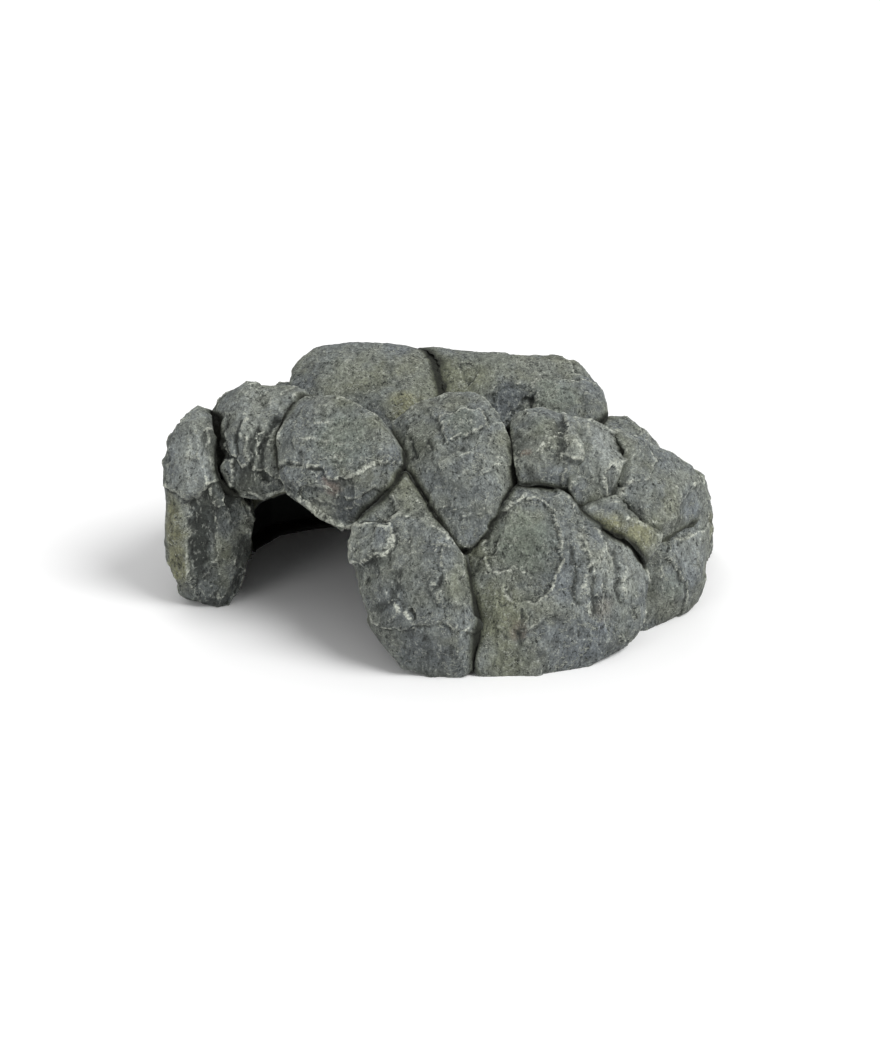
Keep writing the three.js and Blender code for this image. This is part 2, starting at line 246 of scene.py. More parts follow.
# ---------------------------------------------------------------------------------------------------
# What is sculpted on each stone. A stone's face looks along "turn" (about Z, from the front) and
# "lean" (up from level). Places on it are (u, v), from -1 to 1 across the stone: u to the right, v up.
#   strokes:  the way the fine strokes run across the face, degrees, and how strong they are
#   valley:   how far the stone falls away at its crevices, mm, if not VALLEY_DEPTH
#   plates, flakes:  how much the large and small flat faces show, if not as in FLAT_FACES
#   cuts:     flat facets (u, v, tilt to the right, tilt up, depth), degrees and mm
#   steps:    areas raised or sunk with a ragged edge: corners, height in mm, how far in from the edge
#             it fades, mm (0: not at all), and for a soft slope without a brink its half width, mm
#   lines:    ragged ridges or grooves along a path (points, height mm, width mm)
#   spots:    paint (kind, u, v, radius, strength)
# ---------------------------------------------------------------------------------------------------
STONES = {
    "keystone": dict(
        turn=-16, lean=40, strokes=(80, 0.7),
        cuts=[(0.1, 0.2, 0, 4, 2.6), (0.1, -0.6, 4, -40, 2.0), (-0.85, -0.1, -42, -8, 2.0)],
        steps=[
            ([(-1.5, -0.35), (-0.7, -0.2), (-0.4, -0.27), (-0.12, -0.29), (-0.02, -0.42), (0.25, -0.43),
              (0.5, -0.29), (0.65, -0.15), (0.95, 0.02), (1.5, 0.1), (1.5, -1.5), (-1.5, -1.5)], -1.7, 0),
            ([(-1.5, -0.5), (-0.3, -0.55), (0.0, -0.6), (0.25, -0.68), (0.45, -0.62), (0.62, -0.5), (1.5, -0.3),
              (1.5, -1.5), (-1.5, -1.5)], -1.0, 0),
            ([(-1.5, -0.85), (-0.2, -0.78), (0.2, -0.82), (0.6, -0.74), (1.5, -0.7), (1.5, -1.5),
              (-1.5, -1.5)], -0.8, 0),
            ([(-0.7, 0.6), (-0.72, 0.3), (-0.62, 0.05), (-0.48, -0.1), (-0.4, -0.27), (-1.5, -0.3), (-1.5, 1.5),
              (-0.6, 1.5), (-0.62, 0.8)], -0.8, 0),
        ],
        lines=[
            ([(-0.55, 0.12), (-0.3, 0.2), (-0.1, 0.14), (0.15, 0.2)], 0.4, 1.0),
            ([(-0.5, 0.42), (-0.2, 0.5), (0.0, 0.46)], 0.35, 1.0),
            ([(-0.1, -0.12), (0.1, -0.08), (0.3, -0.14)], 0.3, 1.0),
        ],
        spots=[("blue", 0.0, -0.48, 0.28, 0.9), ("blue", 0.3, -0.78, 0.34, 1.0), ("dark", 0.2, -0.5, 0.22, 0.5),
               ("dark", 0.3, -0.76, 0.3, 0.6), ("warm", 0.05, -0.56, 0.16, 0.9), ("green", 0.1, 0.25, 0.6, 0.6),
               ("olive", 0.0, 0.95, 0.3, 0.7), ("olive", 0.6, 0.65, 0.25, 0.6), ("dark", -0.8, 0.1, 0.2, 0.4)]),
    "front_left_stone": dict(
        turn=-8, lean=20, strokes=(70, 0.8), flakes=0.1,
        cuts=[(-0.2, 0.68, -6, 28, 2.2), (0.0, 0.0, 4, 2, 2.4), (0.0, -0.7, 2, -28, 2.5),
              (-0.7, -0.1, -38, -4, 2.4), (0.72, -0.2, 36, 0, 2.0), (-0.45, -0.55, -24, -24, 1.5)],
        steps=[
            ([(-1.5, 0.6), (-0.74, 0.56), (-0.56, 0.49), (-0.47, 0.52), (-0.34, 0.54), (-0.18, 0.55),
              (-0.02, 0.63), (0.3, 0.8), (0.0, 1.5), (-1.5, 1.5)], 0.9, 9),
            ([(-1.3, 0.12), (-0.8, 0.08), (-0.68, 0.17), (-0.42, 0.2), (-0.36, 0.28), (-0.36, 0.4),
              (-0.45, 0.48), (-0.62, 0.46), (-1.3, 0.5)], 1.7, 0),
            ([(-1.3, -0.15), (-0.7, -0.1), (-0.4, 0.1), (-0.42, 0.18), (-0.68, 0.15), (-0.8, 0.06),
              (-1.3, 0.1)], -1.5, 0, 2.0),
            ([(-0.75, 0.3), (-0.68, 0.44), (-0.5, 0.47), (-0.4, 0.36), (-0.44, 0.26), (-0.6, 0.24)], 0.6, 0),
            ([(-0.1, 0.2), (0.1, 0.25), (0.24, 0.22), (0.34, 0.32), (0.6, 0.3), (0.3, 0.7),
              (-0.1, 0.5)], 0.7, 6),
            ([(-1.4, -0.56), (-0.6, -0.5), (-0.2, -0.53), (0.1, -0.46), (0.42, -0.42), (0.7, -0.5), (1.4, -0.5),
              (1.4, -1.4), (-1.4, -1.4)], -1.1, 0),
        ],
        lines=[([(-0.25, 0.05), (-0.24, -0.12), (-0.36, -0.24), (-0.55, -0.36)], -1.0, 3.4)],
        spots=[("dark", -0.62, 0.12, 0.16, 0.8), ("blue", -0.3, -0.3, 0.3, 0.5), ("blue", 0.2, -0.65, 0.4, 0.7),
               ("dark", 0.0, -0.1, 0.6, 0.3), ("dark", 0.1, -0.8, 0.5, 0.35), ("dark", -0.5, -0.4, 0.3, 0.35),
               ("olive", 0.7, 0.0, 0.3, 0.6), ("olive", -0.2, 0.75, 0.25, 0.4),
               ("blue", -0.57, 0.37, 0.14, 0.5)]),
    "kite_stone": dict(
        turn=0, lean=46, strokes=(60, 0.8),
        cuts=[(0.15, 0.15, 4, 0, 2.2), (0.1, 0.6, 2, 14, 1.8), (-0.55, 0.15, -34, 0, 2.0),
              (0.8, 0.1, 34, -4, 2.4), (0.15, -0.55, 2, -22, 2.4), (-0.25, -0.45, -30, -14, 1.6),
              (0.45, -0.5, 26, -22, 1.8)],
        steps=[
            ([(-0.27, 0.57), (-0.1, 0.63), (0.18, 0.7), (0.37, 0.68), (0.5, 0.57), (0.5, 0.45), (0.31, 0.34),
              (0.1, 0.3), (-0.13, 0.23), (-0.22, 0.37)], 1.6, 14),
            ([(0.4, -0.2), (0.53, -0.12), (0.66, -0.04), (0.78, 0.02), (1.3, 0.1), (1.3, 0.9), (0.6, 0.5),
              (0.5, 0.2)], 0.7, 7),
            ([(-0.2, -0.55), (0.0, -0.6), (0.3, -0.56), (0.6, -0.62), (0.6, -1.3), (-0.5, -1.3)], -0.6, 0),
        ],
        lines=[
            ([(-0.67, 0.34), (-0.66, 0.2), (-0.63, 0.06)], -1.0, 1.4),
            ([(-0.42, 0.28), (-0.38, 0.14)], -1.2, 2.0),
            ([(-0.2, 0.45), (0.05, 0.48), (0.3, 0.52)], 0.4, 1.0),
            ([(0.05, 0.05), (0.3, 0.1), (0.42, 0.04)], 0.35, 1.0),
        ],
        spots=[("blue", 0.5, -0.3, 0.3, 0.6), ("blue", 0.3, 0.05, 0.3, 0.4), ("dark", -0.42, 0.2, 0.12, 0.7),
               ("dark", 0.1, -0.5, 0.5, 0.35), ("dark", -0.5, 0.1, 0.35, 0.3), ("dark", 0.1, 0.3, 0.3, 0.25),
               ("olive", -0.5, 0.35, 0.3, 0.5), ("green", 0.1, 0.5, 0.3, 0.5), ("dark", 0.1, 0.1, 0.1, 0.5)]),
    "front_stone": dict(
        turn=8, lean=24, strokes=(84, 0.9),
        cuts=[(-0.35, 0.3, -4, 10, 3.0), (-0.2, 0.82, -2, 34, 2.2), (0.35, 0.1, 20, 2, 3.0),
              (-0.35, -0.5, -8, -16, 2.6), (0.3, -0.55, 14, -22, 2.6), (-0.85, 0.1, -44, 4, 2.4),
              (0.78, 0.0, 42, 4, 2.2), (0.5, 0.55, 24, 26, 1.6)],
        steps=[
            ([(-0.57, 0.75), (-0.46, 0.8), (-0.3, 0.86), (-0.19, 0.85), (-0.12, 0.76), (-0.05, 0.71),
              (0.0, 0.59), (0.02, 0.46), (-0.02, 0.33), (0.0, 0.2), (-0.07, 0.09), (-0.14, -0.06),
              (-0.22, -0.17), (-0.29, -0.24), (-0.4, -0.19), (-0.52, -0.2), (-0.6, -0.11), (-0.55, 0.01),
              (-0.55, 0.14), (-0.66, 0.08), (-0.74, 0.11), (-0.76, 0.26), (-0.77, 0.5),
              (-0.67, 0.61)], -1.4, 0),
            ([(0.42, 0.5), (0.53, 0.38), (0.54, 0.3), (0.47, 0.18), (0.5, 0.08), (0.42, -0.02), (0.4, -0.17),
              (0.38, -0.38), (0.48, -0.56), (0.7, -0.78), (1.4, -1.0), (1.4, 0.6)], -1.5, 0, 1.1),
            ([(0.2, 0.55), (0.28, 0.42), (0.22, 0.3), (0.3, 0.2), (0.24, 0.1), (0.45, 0.2), (0.5, 0.35),
              (0.4, 0.5)], 1.2, 0),
            ([(-0.5, 0.0), (-0.36, 0.05), (-0.25, 0.0), (-0.2, -0.1), (-0.3, -0.2),
              (-0.48, -0.14)], -0.9, 0, 1.6),
        ],
        lines=[
            ([(-0.77, 0.5), (-0.67, 0.61), (-0.57, 0.75), (-0.46, 0.8), (-0.3, 0.86), (-0.19, 0.85),
              (-0.12, 0.76), (-0.05, 0.71), (0.0, 0.59), (0.02, 0.46), (-0.02, 0.33), (0.0, 0.2), (-0.07, 0.09),
              (-0.14, -0.06), (-0.22, -0.17), (-0.29, -0.24)], 0.8, 0.8),
            ([(-0.55, 0.14), (-0.42, 0.12), (-0.36, 0.2)], 0.5, 0.8),
            ([(-0.74, 0.11), (-0.66, 0.08), (-0.55, 0.1), (-0.5, 0.2)], 0.6, 0.8),
            ([(0.1, 0.3), (0.12, 0.1), (0.08, -0.1), (0.13, -0.25)], -1.0, 1.8),
            ([(0.22, 0.1), (0.2, -0.1), (0.24, -0.35)], 0.8, 1.8),
            ([(0.3, 0.0), (0.28, -0.2), (0.32, -0.4)], -1.0, 1.6),
            ([(0.6, 0.25), (0.58, -0.05), (0.62, -0.3)], -0.9, 1.8),
            ([(0.7, 0.15), (0.68, -0.1), (0.72, -0.3)], 0.7, 1.6),
            ([(-0.45, -0.3), (-0.5, -0.5), (-0.46, -0.7)], -0.8, 1.6),
        ],
        spots=[("blue", 0.15, -0.1, 0.4, 0.7), ("blue", 0.1, -0.7, 0.5, 0.9), ("olive", -0.75, -0.3, 0.45, 0.9),
               ("olive", -0.85, 0.25, 0.3, 0.7), ("warm", -0.5, -0.5, 0.14, 0.5),
               ("warm", 0.4, -0.35, 0.16, 0.3), ("pale", 0.47, 0.25, 0.14, 0.8), ("pale", 0.25, 0.4, 0.12, 0.5),
               ("olive", -0.6, -0.85, 0.3, 0.8), ("green", -0.35, 0.4, 0.4, 0.9),
               ("dark", -0.35, 0.2, 0.4, 0.4), ("pale", 0.22, -0.1, 0.1, 0.3), ("light", 0.65, 0.1, 0.4, 0.8)]),
    "shoulder_stone": dict(
        turn=-28, lean=35, strokes=(80, 1.2),
        cuts=[(0.1, 0.35, 6, 24, 2.2), (0.1, -0.35, 8, -22, 2.4), (-0.6, 0.1, -36, 4, 2.0),
              (0.7, 0.1, 34, 6, 2.0)],
        steps=[
            ([(-0.4, -0.3), (-0.2, -0.42), (0.0, -0.4), (0.15, -0.54), (0.3, -0.45), (0.42, -0.6), (1.5, -0.7),
              (1.5, -1.5), (-0.6, -1.5)], -2.2, 0),
            ([(-0.3, -0.5), (-0.05, -0.45), (0.0, -0.9), (-0.2, -1.0)], 1.7, 0),
            ([(-1.5, 0.3), (-0.65, 0.27), (-0.4, 0.22), (-0.1, 0.2), (0.1, 0.3), (0.35, 0.32), (0.5, 0.5),
              (0.5, 1.5), (-1.5, 1.5)], 0.7, 12),
        ],
        lines=[
            ([(-0.58, 0.15), (-0.52, -0.15), (-0.42, -0.45)], -2.2, 2.2),
            ([(-0.3, 0.05), (-0.3, -0.2), (-0.22, -0.4)], -2.0, 2.0),
            ([(0.02, 0.15), (-0.02, -0.1), (0.03, -0.35)], -1.3, 1.6),
            ([(0.33, 0.1), (0.3, -0.2), (0.35, -0.5)], -2.4, 2.2),
            ([(0.55, 0.3), (0.5, 0.0), (0.5, -0.35), (0.58, -0.7)], -3.4, 2.8),
            ([(0.78, 0.5), (0.72, 0.2), (0.76, -0.1)], -2.0, 2.2),
        ],
        spots=[("dark", 0.5, -0.35, 0.12, 0.9), ("dark", -0.22, -0.45, 0.14, 0.9),
               ("dark", 0.3, -0.75, 0.34, 0.8), ("blue", 0.62, 0.3, 0.2, 0.7), ("olive", 0.3, -0.8, 0.3, 0.3),
               ("dark", -0.7, 0.1, 0.14, 0.7), ("light", 0.0, 0.4, 0.7, 0.6)]),
    "left_pillar": dict(
        turn=-8, lean=5, strokes=(75, 0.6),
        cuts=[(-0.05, 0.55, 8, 8, 1.6), (-0.65, 0.45, -34, 10, 1.4), (-0.65, -0.3, -30, -4, 1.2),
              (0.75, -0.2, 34, 0, 2.2), (-0.7, -0.85, -44, -24, 3.0), (0.6, -0.85, 40, -10, 2.0)],
        steps=[
            ([(-1.5, 0.3), (-0.58, 0.24), (-0.37, 0.2), (-0.27, 0.12), (-0.08, 0.2), (0.12, 0.3), (0.3, 0.36),
              (1.5, 0.4), (1.5, -1.5), (-1.5, -1.5)], -1.6, 0),
            ([(-0.3, 0.15), (0.2, 0.3), (0.3, -0.2), (0.3, -0.7), (0.1, -1.5), (-0.3, -1.5), (-0.32, -0.95),
              (-0.36, -0.5), (-0.34, -0.2)], -1.0, 9),
            ([(-0.33, 0.12), (0.1, 0.25), (0.25, 0.0), (0.2, -0.4), (0.1, -0.7), (-0.25, -0.75),
              (-0.34, -0.3)], -3.0, 0, 4.0),
        ],
        lines=[([(-0.3, 0.75), (-0.32, 0.5), (-0.3, 0.25)], 0.5, 1.4)],
        spots=[("moss", -0.75, -0.15, 0.4, 1.0), ("moss", -0.7, -0.5, 0.36, 1.0),
               ("blue", -0.1, 0.45, 0.35, 0.9), ("blue", -0.6, 0.5, 0.3, 0.6),
               ("dark", -0.08, -0.05, 0.26, 1.3), ("dark", -0.1, -0.35, 0.24, 1.4),
               ("dark", -0.12, -0.6, 0.2, 1.0), ("dark", 0.25, 0.1, 0.3, 1.0), ("dark", 0.14, 0.8, 0.2, 1.0),
               ("dark", 0.6, 0.2, 0.3, 0.9), ("dark", 0.8, -0.4, 0.2, 1.1), ("dark", 0.78, -0.75, 0.22, 1.2),
               ("dark", 0.1, -0.95, 0.5, 0.5), ("olive", 0.42, -0.35, 0.25, 0.8),
               ("olive", 0.4, -0.7, 0.22, 0.6), ("light", -0.2, 0.6, 0.5, 0.9)]),
    "upper_right_stone": dict(
        turn=8, lean=48, strokes=(50, 0.7),
        cuts=[(-0.1, 0.1, -4, -2, 2.0), (0.1, -0.6, 4, -38, 2.6), (-0.8, 0.0, -40, 0, 2.2)],
        steps=[
            ([(0.62, 1.2), (0.6, 0.4), (0.5, 0.1), (0.52, -0.1), (0.44, -0.35), (1.3, -0.5),
              (1.3, 1.2)], 1.3, 10),
            ([(-0.9, -0.1), (-0.5, -0.2), (0.0, -0.15), (0.4, -0.35), (0.4, -1.3), (-0.9, -1.3)], -0.8, 0),
        ],
        lines=[([(0.48, 0.5), (0.4, 0.1), (0.36, -0.3)], -1.2, 3.0)],
        spots=[("warm", -0.62, -0.15, 0.12, 1.0), ("dark", -0.85, 0.1, 0.35, 0.6),
               ("dark", -0.5, -0.75, 0.3, 0.7), ("green", 0.0, 0.4, 0.4, 0.4), ("dark", 0.0, 0.0, 0.8, 0.15)]),
    "upper_far_stone": dict(
        turn=24, lean=44, strokes=(60, 0.7),
        cuts=[(0.35, 0.25, 18, 4, 1.4), (-0.5, 0.0, -20, 0, 1.4), (0.1, -0.55, 0, -46, 3.2),
              (0.75, 0.0, 40, 0, 1.6)],
        steps=[
            ([(0.0, -0.3), (0.25, -0.36), (0.45, -0.28), (0.62, -0.2), (1.3, -0.2), (1.3, -1.3),
              (0.0, -1.3)], -1.2, 0),
        ],
        lines=[([(0.2, -0.3), (0.35, -0.36), (0.5, -0.26)], 0.5, 1.0)],
        spots=[("pale", 0.35, -0.3, 0.16, 1.0), ("light", 0.25, 0.1, 0.7, 0.9), ("olive", -0.4, -0.8, 0.3, 0.6),
               ("dark", 0.1, -0.85, 0.36, 0.7)]),
    "right_ledge_stone": dict(
        turn=35, lean=35, strokes=(70, 0.9),
        cuts=[(0.2, 0.3, 8, 12, 2.0), (0.3, -0.4, 10, -14, 2.2), (-0.5, -0.2, -36, -8, 2.6)],
        steps=[
            ([(-1.2, -0.1), (-0.75, -0.2), (-0.5, -0.5), (-0.35, -1.2), (-1.2, -1.2)], -2.0, 0, 3.0),
            ([(-0.2, 1.2), (0.0, 0.5), (0.03, 0.3), (-0.1, 0.15), (-0.3, 0.0), (-1.2, 0.2),
              (-1.2, 1.2)], 0.9, 7),
            ([(0.1, -0.62), (0.35, -0.5), (0.6, -0.32), (0.85, -0.2), (1.3, -0.1), (1.3, -1.3),
              (0.1, -1.3)], -1.0, 0),
        ],
        lines=[],
        spots=[("dark", -0.75, -0.5, 0.34, 0.8), ("blue", 0.2, 0.2, 0.35, 0.5), ("blue", 0.5, -0.6, 0.4, 0.7),
               ("olive", -0.4, -0.8, 0.3, 0.6)]),
    "right_foot_stone": dict(
        turn=38, lean=12, strokes=(70, 0.6),
        cuts=[(0.3, 0.0, 8, 6, 2.2), (-0.45, 0.0, -20, 2, 2.0), (0.1, -0.75, 0, -26, 1.8)],
        steps=[
            ([(-0.35, 0.22), (-0.15, 0.42), (0.15, 0.48), (0.5, 0.46), (0.75, 0.42), (1.4, 0.4), (1.4, -1.4),
              (0.1, -1.4), (0.0, -0.3), (-0.15, 0.0)], 1.3, 12),
        ],
        lines=[([(-0.35, 0.22), (-0.15, 0.42), (0.15, 0.48), (0.5, 0.46), (0.75, 0.42)], 0.4, 1.0)],
        spots=[("blue", 0.3, 0.0, 0.5, 0.8), ("dark", -0.6, -0.3, 0.3, 0.5), ("green", -0.2, -0.3, 0.3, 0.4),
               ("light", 0.3, 0.2, 0.5, 0.6)]),
    "wedge_stone": dict(
        turn=25, lean=30, strokes=(60, 0.5),
        cuts=[(0.2, -0.2, 0, -6, 1.5), (0.7, 0.0, 20, 0, 1.2)],
        steps=[],
        lines=[],
        spots=[("moss", -0.5, 0.1, 0.6, 1.0), ("moss", 0.3, -0.1, 0.6, 0.9), ("dark", 0.1, 0.7, 0.3, 0.6)]),
    "top_left_stone": dict(
        turn=-5, lean=60, strokes=(90, 0.5), valley=0.9, plates=0.3,
        cuts=[(0.0, 0.1, 0, 0, 2.0), (0.0, 0.7, 0, 22, 2.2), (0.0, -0.5, 0, -18, 1.8),
              (-0.75, 0.0, -30, 4, 2.0), (0.75, 0.1, 22, 6, 1.4)],
        steps=[
            ([(0.55, 1.2), (0.5, 0.6), (0.7, 0.3), (0.75, 0.0), (1.4, 0.0), (1.4, 1.2)], -0.7, 0),
        ],
        lines=[([(-0.3, 0.55), (-0.34, 0.35), (-0.3, 0.15)], 0.3, 1.0)],
        spots=[("moss", 0.35, -0.3, 0.28, 0.8), ("olive", 0.6, 0.1, 0.4, 0.5), ("olive", -0.2, 0.2, 0.6, 0.35),
               ("dark", -0.2, -0.6, 0.6, 0.4)]),
    "top_right_stone": dict(
        turn=5, lean=60, strokes=(85, 0.8), valley=2.2, plates=0.3,
        cuts=[(0.45, 0.45, 6, 8, 2.6), (0.3, 0.85, 4, 30, 2.0), (0.5, -0.3, 4, -26, 2.6),
              (-0.5, 0.3, -8, 6, 2.2), (-0.3, -0.5, -8, -20, 2.0), (0.85, 0.4, 38, 10, 2.4)],
        steps=[
            ([(-0.6, -0.6), (-0.35, -0.15), (-0.2, 0.02), (-0.05, 0.06), (0.1, 0.04), (0.19, -0.06),
              (0.22, -0.8), (-0.6, -1.0)], -1.8, 0, 1.6),
            ([(0.2, -1.4), (0.18, -0.3), (0.17, 0.0), (0.27, 0.13), (0.4, 0.18), (0.7, 0.16), (1.3, 0.2),
              (1.3, -1.4)], 1.4, 12),
            ([(0.62, 1.3), (0.6, 0.7), (0.66, 0.5), (0.64, 0.3), (1.4, 0.3), (1.4, 1.3)], -1.0, 0),
        ],
        lines=[([(0.17, -0.2), (0.16, 0.0), (0.26, 0.14), (0.3, 0.3)], 0.5, 1.0)],
        spots=[("olive", -0.6, 0.2, 0.5, 0.9), ("olive", -0.2, 0.5, 0.4, 0.5), ("blue", 0.85, 0.1, 0.3, 0.7),
               ("dark", -0.05, -0.15, 0.26, 0.45), ("blue", -0.1, -0.12, 0.34, 1.0),
               ("green", 0.4, -0.1, 0.3, 0.6)]),
    "back_right_stone": dict(
        turn=70, lean=38, strokes=(60, 0.7),
        cuts=[(0.1, 0.3, 0, 12, 2.0), (-0.4, -0.1, -20, 0, 2.0), (0.4, -0.2, 18, -8, 1.8)],
        steps=[
            ([(-0.6, 0.5), (-0.2, 0.3), (0.2, 0.4), (0.6, 0.2), (1.3, 0.3), (1.3, -1.3), (-0.6, -1.3)], 0.8, 9),
        ],
        lines=[],
        spots=[("blue", 0.0, 0.0, 0.5, 0.5)]),
}

# The stones that are plainer, at the sides and the back: the way each faces
PLAIN = {
    "far_right_stone": (82, 14), "rear_right_stone": (136, 14), "rear_boulder": (170, 16),
    "rear_teardrop": (182, 14), "rear_left_stone": (190, 14), "left_corner_stone": (228, 14),
    "left_side_stone": (274, 10), "left_crown_stone": (256, 48), "rear_left_crown": (204, 50),
    "rear_crown": (178, 54), "rear_right_crown": (160, 54), "right_crown_stone": (126, 46),
}
PLAIN_SEED = 300
PLAIN_PAINT = (("blue", 0.7), ("blue", 0.6), ("olive", 0.6), ("green", 0.5), ("dark", 0.5), ("moss", 0.5),
               ("warm", 0.3))
PAINTS = ("olive", "moss", "blue", "green", "warm", "light", "pale", "dark")


def plain_stone(turn, lean, seed):
    """A stone of the sides or back: everything on it laid out at random, but always the same."""
    rng = np.random.default_rng(seed)
    # a facet in front and five round it
    cuts = [(rng.uniform(-0.2, 0.2), rng.uniform(-0.1, 0.3), rng.uniform(-6, 6), rng.uniform(-4, 8), 1.5)]
    for angle in np.arange(5) * 72 + rng.uniform(0, 72):
        a = math.radians(angle + rng.uniform(-18, 18))
        reach, tilt = rng.uniform(0.55, 0.75), rng.uniform(22, 40)
        cuts.append((reach * math.cos(a), reach * math.sin(a), tilt * math.cos(a), tilt * math.sin(a),
                     rng.uniform(1.1, 1.9)))
    steps, lines, spots = [], [], []
    # the foot set back and the top set forward, a worn plate between them, and three cracks
    for side in (-1, 1):
        level, slope = rng.uniform(0.3, 0.6) * side, rng.uniform(-0.6, 0.6)
        edge = [(x, level + slope * x + rng.uniform(-0.07, 0.07)) for x in np.linspace(-1.0, 1.0, 7)]
        far = 1.5 * side
        steps.append(([(-1.5, far)] + edge + [(1.5, far)], rng.uniform(0.5, 1.1) * side, 9 if side > 0 else 0))
    cu, cv, size = rng.uniform(-0.3, 0.3), rng.uniform(-0.2, 0.4), rng.uniform(0.28, 0.45)
    ring = [(cu + size * math.cos(t) * rng.uniform(0.75, 1.1),
             cv + size * math.sin(t) * rng.uniform(0.75, 1.1))
            for t in np.linspace(0, 2 * math.pi, 12, endpoint=False)]
    steps.append((ring, rng.choice([-0.8, 0.9]), 0))
    lines.append((ring[:8], 0.3, 0.8))
    for _ in range(3):
        u, v, a = rng.uniform(-0.6, 0.6), rng.uniform(-0.6, 0.6), rng.uniform(0.9, 2.2)
        path = [(u + 0.12 * k * math.cos(a + rng.uniform(-0.4, 0.4)), v + 0.12 * k * math.sin(a))
                for k in range(4)]
        lines.append((path, -rng.uniform(0.6, 1.3), rng.uniform(1.2, 1.9)))
    for kind, strength in PLAIN_PAINT:
        spots.append((kind, rng.uniform(-0.8, 0.8), rng.uniform(-0.8, 0.8), rng.uniform(0.2, 0.45), strength))
    return dict(turn=turn, lean=lean, strokes=(rng.uniform(50, 110), 0.8),
                cuts=cuts, steps=steps, lines=lines, spots=spots)


for seed, (name, (turn, lean)) in enumerate(PLAIN.items()):
    STONES[name] = plain_stone(turn, lean, PLAIN_SEED + seed)


# ---------------------------------------------------------------------------------------------------
# Sculpting
# ---------------------------------------------------------------------------------------------------
def face_axes(turn, lean):
    """Right, up and out axes of a face."""
    t, l = math.radians(turn), math.radians(lean)
    out = np.array([math.sin(t) * math.cos(l), -math.cos(t) * math.cos(l), math.sin(l)])
    right = np.array([math.cos(t), math.sin(t), 0.0])
    return np.stack([right, np.cross(out, right), out])


def path_distance(p, path, closed=False):
    """Distance from each 2-D point to a path."""
    path = np.asarray(path, float)
    ends = np.roll(path, -1, 0) if closed else path[1:]
    starts = path if closed else path[:-1]
    best = np.full(len(p), FAR)
    for a, b in zip(starts, ends):
        along = b - a
        t = np.clip(((p - a) @ along) / max(along @ along, TINY), 0, 1)
        best = np.minimum(best, ((p - a - t[:, None] * along) ** 2).sum(1))
    return np.sqrt(best)


def inside(p, corners):
    """Which 2-D points lie inside an outline."""
    corners = np.asarray(corners, float)
    within = np.zeros(len(p), bool)
    for a, b in zip(corners, np.roll(corners, -1, 0)):
        crosses = (a[1] > p[:, 1]) != (b[1] > p[:, 1])
        if b[1] != a[1]:
            within ^= crosses & (p[:, 0] < (b[0] - a[0]) * (p[:, 1] - a[1]) / (b[1] - a[1]) + a[0])
    return within


# Neighbours that run into each other without a crevice
BLENDED = [
    {"upper_right_stone", "upper_far_stone"}, {"upper_far_stone", "right_ledge_stone"},
    {"right_ledge_stone", "right_foot_stone"}, {"right_ledge_stone", "back_right_stone"},
    {"upper_far_stone", "back_right_stone"}, {"wedge_stone", "right_ledge_stone"},
    {"wedge_stone", "upper_far_stone"}, {"wedge_stone", "upper_right_stone"},
    {"right_foot_stone", "far_right_stone"},
    {"upper_right_stone", "top_right_stone"}, {"upper_far_stone", "top_right_stone"},
]
cad_points = {n: np.array([v.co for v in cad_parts[n].data.vertices]) / MM for n in STONES}
cad_faces = {n: [tuple(f.vertices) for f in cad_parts[n].data.polygons] for n in STONES}


def neighbour_distance(name, points, blended):
    """Distance from each point to the nearest blended or other neighbour, mm, up to NEIGHBOUR_REACH."""
    low, high = points.min(0) - NEIGHBOUR_REACH, points.max(0) + NEIGHBOUR_REACH
    corners, faces = [], []
    for other in STONES:
        co = cad_points[other]
        wanted = other != name and ({name, other} in BLENDED) == blended
        if wanted and (co.max(0) > low).all() and (co.min(0) < high).all():
            start = len(corners)
            corners.extend(co.tolist())
            faces.extend(tuple(i + start for i in f) for f in cad_faces[other])
    if not faces:
        return np.full(len(points), NEIGHBOUR_REACH)
    tree = BVHTree.FromPolygons(corners, faces)
    found = (tree.find_nearest(p, NEIGHBOUR_REACH)[3] for p in points.tolist())
    return np.array([NEIGHBOUR_REACH if d is None else d for d in found])


# The two sides of a stone are told apart along this direction
UPPER_FRONT = np.array([0.577, -0.577, 0.577])


def chiselled(skin, size, share, tilt, seed):
    """Flattens the surface into irregular facets about `size` mm across, by `share` of the way."""
    rng = np.random.default_rng(seed)
    bend = np.stack([fractal(skin.co / (size * 0.8), 2, seed + k) for k in range(3)], 1)
    warped = skin.co + bend * size * 0.22
    warped *= (1, 1, rng.uniform(0.75, 1.3))
    nearest, owner = np.full(len(warped), FAR), np.zeros(len(warped), np.int64)
    for h, _, away in nearby_cells(warped / size, seed):
        d = (away ** 2).sum(1)
        nearer = d < nearest
        nearest[nearer] = d[nearer]
        owner[nearer] = (h[nearer] & np.uint64(0x7FFFFFFF)).astype(np.int64)
    normals = skin.normals(5)
    # one facet is what a cell holds of one side
    side = (normals @ UPPER_FRONT > -0.1).astype(np.int64)
    _, group = np.unique(owner * 2 + side, return_inverse=True)
    count = np.bincount(group).astype(float)
    middle = np.stack([np.bincount(group, skin.co[:, a]) for a in range(3)], 1) / count[:, None]
    plane = np.stack([np.bincount(group, normals[:, a]) for a in range(3)], 1)
    firm = np.linalg.norm(plane, axis=1) / count
    plane = unit(unit(plane) + rng.normal(size=plane.shape) * tilt)
    off = ((skin.co - middle[group]) * plane[group]).sum(1) * share * smoothstep(0.55, 0.85, firm)[group]
    off = np.clip(off, -size * FACE_CLIP, size * FACE_CLIP)
    skin.co += skin.averaged(-off[:, None] * plane[group], 1, 0.6)


